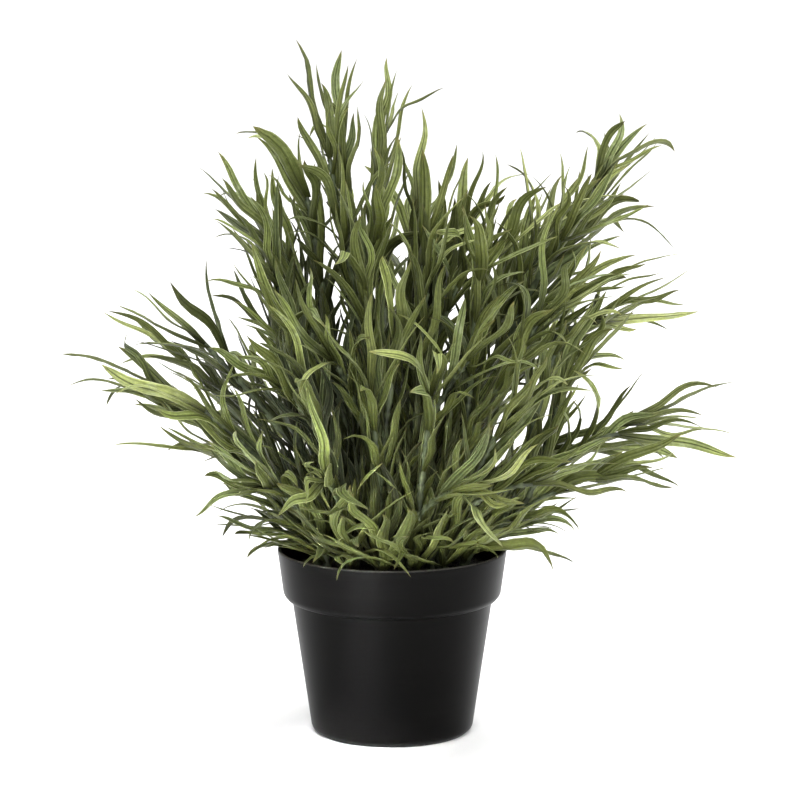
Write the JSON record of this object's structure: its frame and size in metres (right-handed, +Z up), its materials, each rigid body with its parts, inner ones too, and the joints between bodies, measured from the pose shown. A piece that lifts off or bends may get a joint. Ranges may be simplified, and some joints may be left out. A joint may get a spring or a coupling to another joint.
{
  "type": "potted lavender",
  "caption": "Bushy lavender foliage without flowers: forked leafy stems with whorls of narrow leaves, standing in soil in a black nursery pot with a deep collar.",
  "frame": {"origin": "centre of the pot's underside, on the pad that rests on the surface", "axes": "+Z up along the pot's axis, -Y towards the viewer of the picture, +X to the viewer's right"},
  "size_m": [0.3531, 0.2895, 0.3658],
  "materials": {
    "pot": "black moulded plastic, satin-matt",
    "soil": "dark crumbly potting soil, matt",
    "foliage": "grey-green leaves with lighter edges, soft sheen"
  },
  "bodies": {
    "root": {"pot": "pot", "soil": "soil", "leafy_stem_01": "foliage", "leafy_stem_02": "foliage", "leafy_stem_03": "foliage", "leafy_stem_04": "foliage", "leafy_stem_05": "foliage", "leafy_stem_06": "foliage", "leafy_stem_07": "foliage", "leafy_stem_08": "foliage", "leafy_stem_09": "foliage", "leafy_stem_10": "foliage", "leafy_stem_11": "foliage", "leafy_stem_12": "foliage", "leafy_stem_13": "foliage", "leafy_stem_14": "foliage", "leafy_stem_15": "foliage", "leafy_stem_16": "foliage", "leafy_stem_17": "foliage", "leafy_stem_18": "foliage", "leafy_stem_19": "foliage", "leafy_stem_20": "foliage", "leafy_stem_21": "foliage", "leafy_stem_22": "foliage", "leafy_stem_23": "foliage", "leafy_stem_24": "foliage", "leafy_stem_25": "foliage", "leafy_stem_26": "foliage", "leafy_stem_27": "foliage", "leafy_stem_28": "foliage", "leafy_stem_29": "foliage"}
  },
  "joints": []
}
